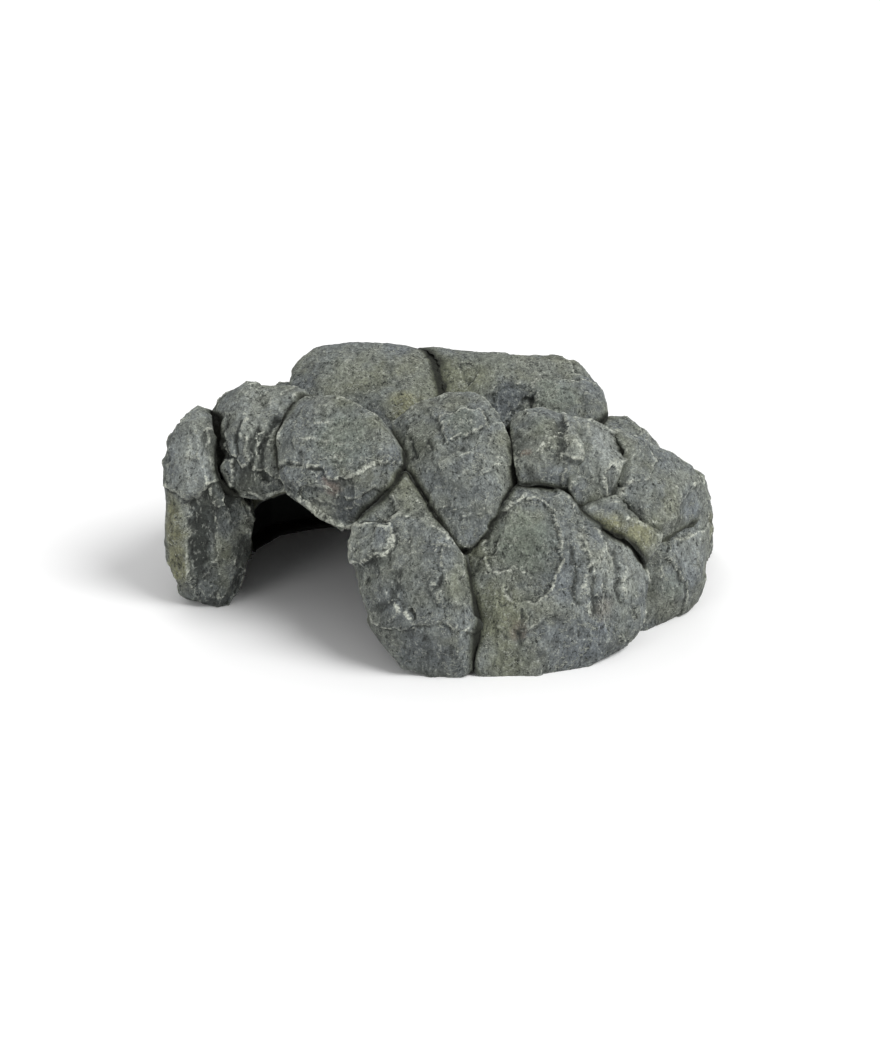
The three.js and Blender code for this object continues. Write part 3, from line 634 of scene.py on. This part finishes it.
def sculpt(name, index):
    """The visual piece of one stone: its CAD shape, remeshed, carved and marked for the paint.

    The whole number that a noise adds to the index is its own seed."""
    plan = STONES[name]
    piece = remeshed(name + "_rock", name, VOXEL)
    skin = Skin(piece.data)
    axes = face_axes(plan["turn"], plan["lean"])
    distance = skin.averaged(neighbour_distance(name, skin.co, False), 3)[:, 0]
    joined = skin.averaged(neighbour_distance(name, skin.co, True), 3)[:, 0]

    # Stones of one casting: they swell into each other, so that a crevice is a narrow V
    open_face = smoothstep(0.5, 10.0, distance)
    joining = JOINED_SWELL * np.exp(-(joined / JOINED_REACH) ** 2) * smoothstep(0.5, 5.0, distance)
    swell = SWELL + OPEN_SWELL * open_face + joining
    skin.co += skin.normals(4) * swell[:, None]
    skin.smooth(6)
    outward = smoothstep(-0.1, 0.7, skin.normals(8) @ axes[2])
    valley = (1 - smoothstep(0.3, VALLEY_REACH, distance)) ** 1.6
    crease = (1 - smoothstep(0.3, JOINED_REACH, joined)) ** 1.6 * CREASE_DEPTH
    dip = np.maximum(valley * plan.get("valley", VALLEY_DEPTH), crease)
    skin.co -= (dip * outward)[:, None] * axes[2]
    skin.smooth(2)

    cad = cad_points[name] @ axes.T
    middle, half = (cad.max(0) + cad.min(0)) / 2, (cad.max(0) - cad.min(0)) / 2
    q = skin.co @ axes.T - middle

    # Facets
    sag = fractal(skin.co / 16, 3, 11 + index) * SAG_HEIGHT
    for u, v, right, up, depth in plan["cuts"]:
        n = np.array([math.sin(math.radians(right)), math.sin(math.radians(up)), 0.0])
        n[2] = math.sqrt(max(1 - n @ n, 0.05))
        gap = np.hypot(q[:, 0] - u * half[0], q[:, 1] - v * half[1])
        here = gap < max(3.0, gap.min() + 2.0)
        place = np.array([u * half[0], v * half[1], q[here, 2].max() - depth * CUT_DEPTH])
        past = (q - place) @ n + sag
        q -= (np.maximum(past, 0) * CUT_SHARE)[:, None] * n
    skin.co = (q + middle) @ axes
    for key, size, share, tilt, seed in FLAT_FACES:
        chiselled(skin, size, plan.get(key, share), tilt, seed + index * 7)
    q = skin.co @ axes.T - middle

    # Ledges, plates, ridges and cracks, with ragged edges
    n = skin.normals(6)
    facing = smoothstep(0.0, 0.35, n @ axes[2])
    ragged = np.stack([fractal(skin.co / 10, 2, 51 + index + k * 100) * EDGE_WANDER
                       + chips(skin.co / 4.5, 55 + index + k) for k in range(2)], 1)
    flat = q[:, :2] + ragged
    # pale is dry brushing that is also a painted highlight, along the upper side of each brink and on the
    # ridges; shade is painted shade at the foot of each brink and in the grooves
    lift, pale, shade = np.zeros((3, len(q)))
    broken = smoothstep(-0.25, 0.25, noise(skin.co / 6, 45 + index))
    for corners, height, fade, *soft in plan["steps"]:
        corners = np.array(corners) * half[:2]
        d = path_distance(flat, corners, True) * np.where(inside(flat, corners), 1, -1)
        spread = soft[0] if soft else EDGE_WIDTH
        rise = smoothstep(-spread, spread, d)
        if fade:
            rise = rise * np.exp(-np.maximum(d, 0) / fade)
        lift += rise * height * (1.0 if soft or abs(height) > BIG_STEP else STEP_HEIGHT)
        if not soft:
            brink = d * np.sign(height)
            crisp = min(abs(height), 1.2) * broken
            pale = np.maximum(pale, np.exp(-((brink - 0.4) / 0.45) ** 2) * crisp)
            shade = np.maximum(shade, np.exp(-((brink + 0.7) / 0.9) ** 2) * crisp * 0.7)
    for path, height, width in plan["lines"]:
        d = path_distance(flat, np.array(path) * half[:2])
        mark = np.exp(-(d / (width * 0.8)) ** 2)
        lift += mark * height * STEP_HEIGHT
        if height > 0:
            pale = np.maximum(pale, mark * broken)
        else:
            shade = np.maximum(shade, mark * min(1.0, -height))
    skin.co += n * (lift * facing)[:, None]

    # Small chips in patches, and short strokes across the stone
    patch = smoothstep(-0.15, 0.35, noise(skin.co / 20, 61 + index))
    bent = skin.co + ragged[:, :1] * 0.7
    lift = chips(bent / (7.5, 7.5, 5.0), 31 + index) * (CHIP_HEIGHT + CHIP_MORE * patch)
    angle = math.radians(plan["strokes"][0])
    along = q[:, 0] * math.cos(angle) + q[:, 1] * math.sin(angle)
    across = -q[:, 0] * math.sin(angle) + q[:, 1] * math.cos(angle)
    strokes = fractal(np.stack([along / 6.5, across / 2.1, q[:, 2] / 5], 1), 3, 71 + index, 0.6)
    lift += strokes * STROKE_HEIGHT * plan["strokes"][1]
    rough = fractal(skin.co / 3.0, 3, 91 + index, 0.6) * ROUGH_HEIGHT
    pits = smoothstep(0.3, 0.75, noise(skin.co / 2.2, 95 + index))
    pits *= smoothstep(-0.1, 0.4, noise(skin.co / 15, 96 + index))
    lift += rough - pits * PIT_DEPTH
    calm = 0.35 + 0.65 * smoothstep(0.5, 4.0, distance)
    skin.co += skin.normals(3) * (lift * calm)[:, None]

    low, high = np.array(CAD_BOX[0]) / MM, np.array(CAD_BOX[1]) / MM
    low[2] = FLOOR_CLEARANCE
    skin.co = np.clip(skin.co, low, high)

    # What the paint follows: sharp edges, rounded forms, the bulk of the stone, crevices and painted spots
    for key, passes in (("edge", 2), ("form", 14), ("bulk", 90)):
        store(skin.mesh, key, skin.relief(passes))
    # how near each point lies to a crevice: the paint gives it an olive wash and painted shade there, and keeps
    # the dry brush out
    crevice = np.exp(-np.maximum(distance - 0.4, 0) / 2.2)
    seam = 0.55 * np.exp(-np.maximum(joined - 0.4, 0) / 1.8)
    store(skin.mesh, "crevice", np.maximum(crevice, seam))
    paint = {kind: np.zeros(len(q)) for kind in PAINTS} | {"pale": pale, "dark": shade}
    spread = flat / half[:2] + ragged * 0.02
    for kind, u, v, radius, strength in plan["spots"]:
        d = np.hypot(spread[:, 0] - u, spread[:, 1] - v)
        paint[kind] = np.maximum(paint[kind], (1 - smoothstep(radius * 0.35, radius * 1.15, d)) * strength)
    for kind, values in paint.items():
        store(skin.mesh, kind, values * facing)
    # which way the surface faces: the paint puts painted shade on the faces that turn downwards and keeps the
    # dry brush off them
    store(skin.mesh, "up", skin.normals(12)[:, 2])
    return piece


pieces = {name: sculpt(name, index) for index, name in enumerate(STONES)}


# ---------------------------------------------------------------------------------------------------
# Materials
# ---------------------------------------------------------------------------------------------------
def srgb(*levels):
    """A colour given in the usual 0 to 255, as Blender wants it."""
    return tuple(c / 255 / 12.92 if c <= 10 else ((c / 255 + 0.055) / 1.055) ** 2.4 for c in levels) + (1.0,)


def grey(value):
    return (value, value, value, 1)


class Nodes:
    """A material under construction."""

    def __init__(self, name):
        self.material = bpy.data.materials.new(name)
        self.material.use_nodes = True
        self.tree = self.material.node_tree
        self.tree.nodes.clear()
        self.place = self.add("ShaderNodeTexCoord").outputs["Object"]

    def add(self, kind, **settings):
        node = self.tree.nodes.new(kind)
        for key, value in settings.items():
            setattr(node, key, value)
        return node

    def feed(self, socket, value):
        """Links an output to a socket, or sets the socket to a constant."""
        if isinstance(value, bpy.types.NodeSocket):
            self.tree.links.new(value, socket)
        else:
            socket.default_value = value

    def noise(self, size_mm, detail=3.0, rough=0.5, stretch=(1, 1, 1), shift=0.0):
        """Noise with features of about `size_mm`; the shift tells one noise from another."""
        mapping = self.add("ShaderNodeMapping")
        self.feed(mapping.inputs["Vector"], self.place)
        mapping.inputs["Scale"].default_value = [s / (size_mm * MM) for s in stretch]
        mapping.inputs["Location"].default_value = (shift, shift * 1.7, shift * 0.6)
        node = self.add("ShaderNodeTexNoise")
        self.feed(node.inputs["Vector"], mapping.outputs[0])
        node.inputs["Scale"].default_value = 1.0
        node.inputs["Detail"].default_value = detail
        node.inputs["Roughness"].default_value = rough
        return node.outputs["Fac"]

    def attribute(self, name):
        node = self.add("ShaderNodeAttribute")
        node.attribute_name = name
        return node.outputs["Fac"]

    def math(self, operation, a, b=0.0, clamp=False):
        node = self.add("ShaderNodeMath", operation=operation, use_clamp=clamp)
        self.feed(node.inputs[0], a)
        self.feed(node.inputs[1], b)
        return node.outputs[0]

    def times(self, a, b, clamp=False):
        return self.math("MULTIPLY", a, b, clamp)

    def plus(self, a, b, clamp=False):
        return self.math("ADD", a, b, clamp)

    def ramp(self, value, low, high, out_low=0.0, out_high=1.0):
        """The value carried smoothly from low..high to out_low..out_high."""
        node = self.add("ShaderNodeMapRange", interpolation_type="SMOOTHSTEP")
        self.feed(node.inputs["Value"], value)
        sockets = ("From Min", "From Max", "To Min", "To Max")
        for socket, number in zip(sockets, (low, high, out_low, out_high)):
            node.inputs[socket].default_value = number
        return node.outputs["Result"]

    def mix(self, share, a, b, blend="MIX"):
        node = self.add("ShaderNodeMix", data_type="RGBA", blend_type=blend)
        self.feed(node.inputs["Factor"], share)
        self.feed(node.inputs[6], a)
        self.feed(node.inputs[7], b)
        return node.outputs[2]

    def finish(self, colour, roughness, height, strength, distance_mm, specular):
        shader = self.add("ShaderNodeBsdfPrincipled")
        self.feed(shader.inputs["Base Color"], colour)
        self.feed(shader.inputs["Roughness"], roughness)
        shader.inputs["Specular IOR Level"].default_value = specular
        bump = self.add("ShaderNodeBump")
        bump.inputs["Strength"].default_value = strength
        bump.inputs["Distance"].default_value = distance_mm * MM
        self.feed(bump.inputs["Height"], height)
        self.feed(shader.inputs["Normal"], bump.outputs[0])
        out = self.add("ShaderNodeOutputMaterial")
        self.feed(out.inputs["Surface"], shader.outputs[0])
        return self.material


# The painted spots: colour, and how much of it
TINTS = {
    "green": (srgb(110, 118, 106), 0.8), "blue": (srgb(101, 107, 113), 0.7),
    "olive": (srgb(110, 113, 92), 0.8), "moss": (srgb(128, 128, 98), 0.9),
    "warm": (srgb(138, 118, 104), 0.6), "light": (srgb(150, 155, 150), 0.6),
}
GREY, COOL_GREY, OLIVE_GREY, BLUE_GREY = (srgb(115, 119, 112), srgb(107, 112, 111),
                                          srgb(112, 114, 98), srgb(104, 110, 116))
# washes that are also painted shade, on the faces that turn downwards and in the broad hollows, and an olive
# wash beside the crevices
UNDERSIDE_WASH_AND_SHADE, BROAD_HOLLOW_WASH_AND_SHADE, OLIVE_WASH = srgb(66, 69, 69), srgb(58, 61, 53), srgb(82, 85, 66)
# a wash and painted shade in the small hollows; painted shade below the ledges and in the grooves, and the dark
# spots; darker specks; painted shade deep in the crevices; the dark wash in the pits
SMALL_HOLLOW_WASH_AND_SHADE, SHADE, SPECK, CREVICE_SHADE, PIT = (srgb(46, 49, 46), srgb(50, 53, 50), srgb(48, 51, 48),
                                      srgb(24, 26, 19), srgb(30, 33, 31))
# dry brushing that is also a painted highlight, on the swelling forms and the edges; lighter dabs and hairlines
SWELL_DRY_BRUSH_AND_HIGHLIGHT, EDGE_DRY_BRUSH_AND_HIGHLIGHT, DAB_TINT, HAIR_TINT = (srgb(146, 151, 144), srgb(182, 185, 173),
                                              srgb(162, 165, 157), srgb(178, 182, 170))


def rock_paint():
    m = Nodes("painted_rock")
    edge, form, crevice, bulk, up = (m.attribute(a) for a in ("edge", "form", "crevice", "bulk", "up"))
    grain = m.noise(0.8, 3, 0.65)
    dabs = m.noise(1.4, 3, 0.6, (1.0, 1.0, 0.5), 3)
    streaks = m.noise(3.4, 4, 0.6, (1.0, 1.0, 0.5), 6)
    patches = m.ramp(m.noise(13, 3, 0.6, shift=11), 0.42, 0.6)
    colour = m.mix(m.ramp(m.noise(24, 4, 0.6), 0.4, 0.6), GREY, COOL_GREY)
    colour = m.mix(m.ramp(m.noise(30, 4, 0.6, shift=5), 0.5, 0.66, 0, 0.6), colour, OLIVE_GREY)
    colour = m.mix(m.ramp(m.noise(19, 4, 0.6, shift=9), 0.52, 0.66, 0, 0.4), colour, BLUE_GREY)
    for kind, (tint, share) in TINTS.items():
        colour = m.mix(m.times(m.attribute(kind), share), colour, tint)
    # a thin wash that is also painted shade: darker on the faces that turn downwards and in the hollows, olive
    # beside the crevices
    colour = m.mix(m.ramp(up, 0.45, -0.5, 0, 0.45), colour, UNDERSIDE_WASH_AND_SHADE)
    colour = m.mix(m.ramp(bulk, 0.3, -2.4, 0, 0.65), colour, BROAD_HOLLOW_WASH_AND_SHADE)
    colour = m.mix(m.ramp(crevice, 0.1, 0.5, 0, 0.55), colour, OLIVE_WASH)
    # a wash that is also painted shade in the small hollows, from the rounded forms and the sharp relief
    hollow_shade = m.plus(m.ramp(form, 0.0, -1.1), m.ramp(edge, -0.02, -0.18, 0, 0.8), clamp=True)
    colour = m.mix(m.times(hollow_shade, 0.75), colour, SMALL_HOLLOW_WASH_AND_SHADE)
    colour = m.mix(m.times(m.attribute("dark"), 0.8), colour, SHADE)
    specks = m.times(m.ramp(dabs, 0.46, 0.34), m.plus(m.times(patches, 0.6), 0.28))
    colour = m.mix(specks, colour, SPECK)
    # painted shade, near black, deep in the crevices between the stones
    colour = m.mix(m.ramp(crevice, 0.22, 0.8, 0, 0.94), colour, CREVICE_SHADE)
    # dry brushing that is also a painted highlight: on the swelling forms, on the edges and in fine strokes,
    # broken up by the grain, out of reach in the crevices and weaker on the faces that turn downwards
    colour = m.mix(m.ramp(bulk, 0.6, 3.0, 0, 0.3), colour, SWELL_DRY_BRUSH_AND_HIGHLIGHT)
    catch = m.plus(m.ramp(edge, 0.05, 0.22), m.ramp(form, 0.25, 1.0, 0, 0.6))
    catch = m.plus(catch, m.attribute("pale"))
    catch = m.times(catch, m.ramp(m.noise(2.2, 3, 0.6, shift=8), 0.38, 0.56), clamp=True)
    reached = m.ramp(crevice, 0.5, 0.2)
    catch = m.times(catch, reached)
    catch = m.times(catch, m.ramp(up, -0.55, -0.1, 0.2, 1.0))
    colour = m.mix(m.times(catch, 0.75), colour, EDGE_DRY_BRUSH_AND_HIGHLIGHT)
    colour = m.mix(m.times(m.ramp(dabs, 0.55, 0.7, 0, 0.45), reached), colour, DAB_TINT)
    for mottle, low, high, dark, bright in ((streaks, 0.36, 0.62, 0.72, 1.2), (grain, 0.32, 0.68, 0.68, 1.3)):
        tone = m.mix(m.ramp(mottle, low, high), grey(dark), grey(bright))
        colour = m.mix(1.0, colour, tone, "MULTIPLY")
    # small deep pits that hold the dark wash, and hairline ridges that catch the dry brush
    pits = m.ramp(m.noise(1.1, 2, 0.5, (1.0, 1.0, 0.7), 14), 0.38, 0.31)
    pits = m.times(pits, m.ramp(m.noise(9, 3, 0.6, shift=16), 0.42, 0.58, 0.25, 1.0))
    colour = m.mix(m.times(pits, 0.8), colour, PIT)
    ridge = m.math("ABSOLUTE", m.math("SUBTRACT", m.noise(8, 5, 0.62, (1.0, 1.0, 2.0), 18), 0.5))
    hairs = m.times(m.ramp(ridge, 0.017, 0.005), m.ramp(m.noise(7, 2, 0.5, shift=20), 0.48, 0.55))
    hairs = m.times(hairs, m.times(reached, m.ramp(m.attribute("dark"), 0.5, 0.1)))
    colour = m.mix(m.times(hairs, 0.7), colour, HAIR_TINT)
    height = m.plus(m.noise(0.9, 4, 0.65, shift=2), m.times(dabs, 1.5))
    height = m.plus(height, m.math("SUBTRACT", m.times(hairs, 0.5), pits))
    height = m.plus(height, m.times(streaks, 1.5))
    return m.finish(colour, m.ramp(grain, 0.3, 0.7, 0.72, 0.92), height, 1.0, 0.6, 0.3)


def inner_coat():
    m = Nodes("inner_coat")
    colour = m.mix(m.ramp(m.noise(30, 4), 0.35, 0.65), srgb(20, 22, 19), srgb(27, 29, 26))
    # where the wall shows between the stones, outside, it is painted like the crevices
    wash = m.mix(m.ramp(m.noise(2.5, 3, 0.6), 0.35, 0.65), srgb(48, 50, 40), srgb(88, 90, 74))
    colour = m.mix(m.attribute("outer"), colour, wash)
    return m.finish(colour, m.ramp(m.noise(8, 3), 0.3, 0.7, 0.55, 0.75), m.noise(6, 4, 0.6), 0.4, 0.5, 0.4)


rock = rock_paint()
coat = inner_coat()
for name, piece in pieces.items():
    piece.data.materials.append(rock)
    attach(piece, "root")
    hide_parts(name)

for node in ("core_wall", "base_rim"):
    piece = remeshed(node + "_cast", node, WALL_VOXEL)
    skin = Skin(piece.data)
    skin.smooth(6)
    skin.co += skin.normals() * (fractal(skin.co / WALL_WAVE, 3, 5) * WALL_WAVE_HEIGHT)[:, None]
    skin.co[:, 2] = np.maximum(skin.co[:, 2], FLOOR_CLEARANCE)
    outward = skin.normals(3) * skin.co / np.linalg.norm(skin.co, axis=1)[:, None]
    store(skin.mesh, "outer", smoothstep(0.0, 0.3, outward.sum(1)))
    piece.data.materials.append(coat)
    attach(piece, "root")
    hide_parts(node)

# ---------------------------------------------------------------------------------------------------
# Floor, light and camera
# ---------------------------------------------------------------------------------------------------
FLOOR_HALF = 12          # metres, so that its edge is far out of sight
FLOOR_WHITE = 0.9
SKY = 0.5
DISTANCE, ELEVATION = 1.15, math.radians(25)
AIM = Vector((-2.35, -19.86, 50.0)) * MM
VIEW_HEIGHT = 494.2857   # the height of the picture at the aim, mm
SENSOR = 36              # mm

scene = bpy.context.scene
scene.view_settings.view_transform = "Standard"
floor_mesh = bpy.data.meshes.new("floor")
corners = [(x * FLOOR_HALF, y * FLOOR_HALF, 0) for x, y in ((-1, -1), (1, -1), (1, 1), (-1, 1))]
floor_mesh.from_pydata(corners, [], [(0, 1, 2, 3)])
floor = bpy.data.objects.new("floor", floor_mesh)
scene.collection.objects.link(floor)
m = Nodes("floor")
shader = m.add("ShaderNodeBsdfPrincipled")
shader.inputs["Base Color"].default_value = grey(FLOOR_WHITE)
shader.inputs["Roughness"].default_value = 0.9
shader.inputs["Specular IOR Level"].default_value = 0.1
out = m.add("ShaderNodeOutputMaterial")
m.feed(out.inputs["Surface"], shader.outputs[0])
floor_mesh.materials.append(m.material)

world = bpy.data.worlds.new("studio")
world.use_nodes = True
background = world.node_tree.nodes["Background"]
background.inputs["Color"].default_value = grey(1)
background.inputs["Strength"].default_value = SKY
scene.world = world


def soft_sun(name, source, spread, strength):
    """An even light from a direction, as wide across as a large softbox close by."""
    light = bpy.data.lights.new(name, "SUN")
    light.energy = strength
    light.angle = math.radians(spread)
    lamp = bpy.data.objects.new(name, light)
    lamp.rotation_euler = Vector(source).to_track_quat("Z", "Y").to_euler()
    scene.collection.objects.link(lamp)


soft_sun("key", (0.75, -0.4, 0.9), 35, 2.7)
soft_sun("fill", (-0.6, -0.8, 0.42), 30, 0.45)
soft_sun("back", (-0.2, 0.9, 0.8), 40, 0.6)

camera_data = bpy.data.cameras.new("camera")
camera_data.sensor_width = SENSOR
camera_data.lens = SENSOR * DISTANCE / (VIEW_HEIGHT * MM)
camera_data.shift_x, camera_data.shift_y = -0.0009634, -0.0067437
camera_data.clip_start, camera_data.clip_end = 0.05, 20
camera = bpy.data.objects.new("camera", camera_data)
camera.location = AIM + Vector((0, -math.cos(ELEVATION), math.sin(ELEVATION))) * DISTANCE
camera.rotation_euler = (math.pi / 2 - ELEVATION, 0, 0)
scene.collection.objects.link(camera)
scene.camera = camera
